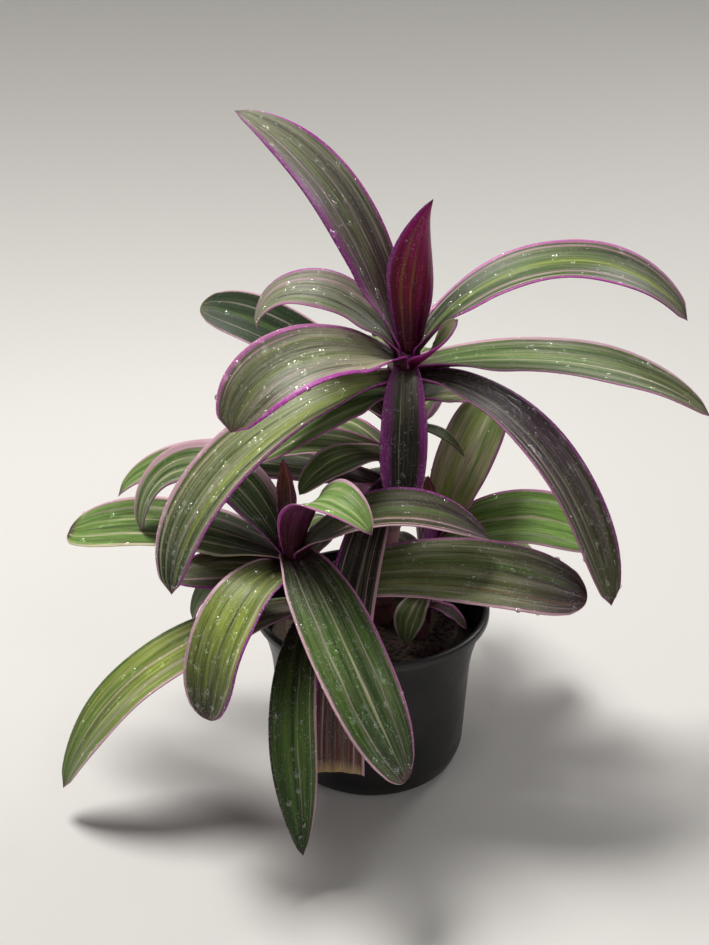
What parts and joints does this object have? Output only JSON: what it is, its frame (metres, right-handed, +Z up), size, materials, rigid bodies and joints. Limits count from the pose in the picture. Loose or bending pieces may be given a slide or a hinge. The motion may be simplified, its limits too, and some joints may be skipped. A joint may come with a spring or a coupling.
{
  "type": "potted tradescantia",
  "caption": "Leafy shoots of striped, arching, strap-shaped leaves with purple undersides, standing in a round black nursery pot of soil.",
  "frame": {"origin": "middle of the pot's underside, where it stands", "axes": "+Z up, -Y to the front of the plant as pictured, +X to its right"},
  "size_m": [0.4115, 0.3278, 0.4001],
  "materials": {
    "pot_plastic": "satin",
    "potting_soil": "matte",
    "stem": "satin",
    "young_leaf": "satin",
    "silver_leaf": "satin",
    "green_leaf": "satin"
  },
  "bodies": {
    "root": {"pot": "pot_plastic", "soil": "potting_soil", "tall_stem": "stem", "tall_spear": "young_leaf", "tall_leaf_01": "silver_leaf", "tall_leaf_02": "silver_leaf", "tall_leaf_03": "silver_leaf", "tall_leaf_04": "silver_leaf", "tall_leaf_05": "silver_leaf", "tall_leaf_06": "silver_leaf", "tall_leaf_07": "silver_leaf", "tall_leaf_08": "silver_leaf", "tall_leaf_09": "silver_leaf", "tall_leaf_10": "silver_leaf", "tall_leaf_11": "silver_leaf", "tall_leaf_12": "silver_leaf", "tall_leaf_13": "silver_leaf", "tall_leaf_14": "silver_leaf", "tall_leaf_15": "silver_leaf", "low_stem": "stem", "low_spear": "young_leaf", "low_leaf_01": "green_leaf", "low_leaf_02": "green_leaf", "low_leaf_03": "green_leaf", "low_leaf_04": "green_leaf", "low_leaf_05": "green_leaf", "low_leaf_06": "green_leaf", "low_leaf_07": "green_leaf", "low_leaf_08": "green_leaf", "low_leaf_09": "green_leaf", "low_leaf_10": "green_leaf", "low_leaf_11": "green_leaf", "low_leaf_12": "green_leaf", "back_stem": "stem", "back_spear": "young_leaf", "back_leaf_01": "green_leaf", "back_leaf_02": "green_leaf", "back_leaf_03": "green_leaf", "back_leaf_04": "green_leaf", "back_leaf_05": "green_leaf", "back_leaf_06": "green_leaf", "back_leaf_07": "green_leaf", "side_stem": "stem", "side_spear": "young_leaf", "side_leaf_01": "green_leaf", "side_leaf_02": "green_leaf", "side_leaf_03": "green_leaf", "side_leaf_04": "green_leaf", "side_leaf_05": "green_leaf", "young_stem": "stem", "young_spear": "young_leaf", "young_leaf_01": "green_leaf", "young_leaf_02": "green_leaf", "young_leaf_03": "green_leaf"}
  },
  "joints": []
}
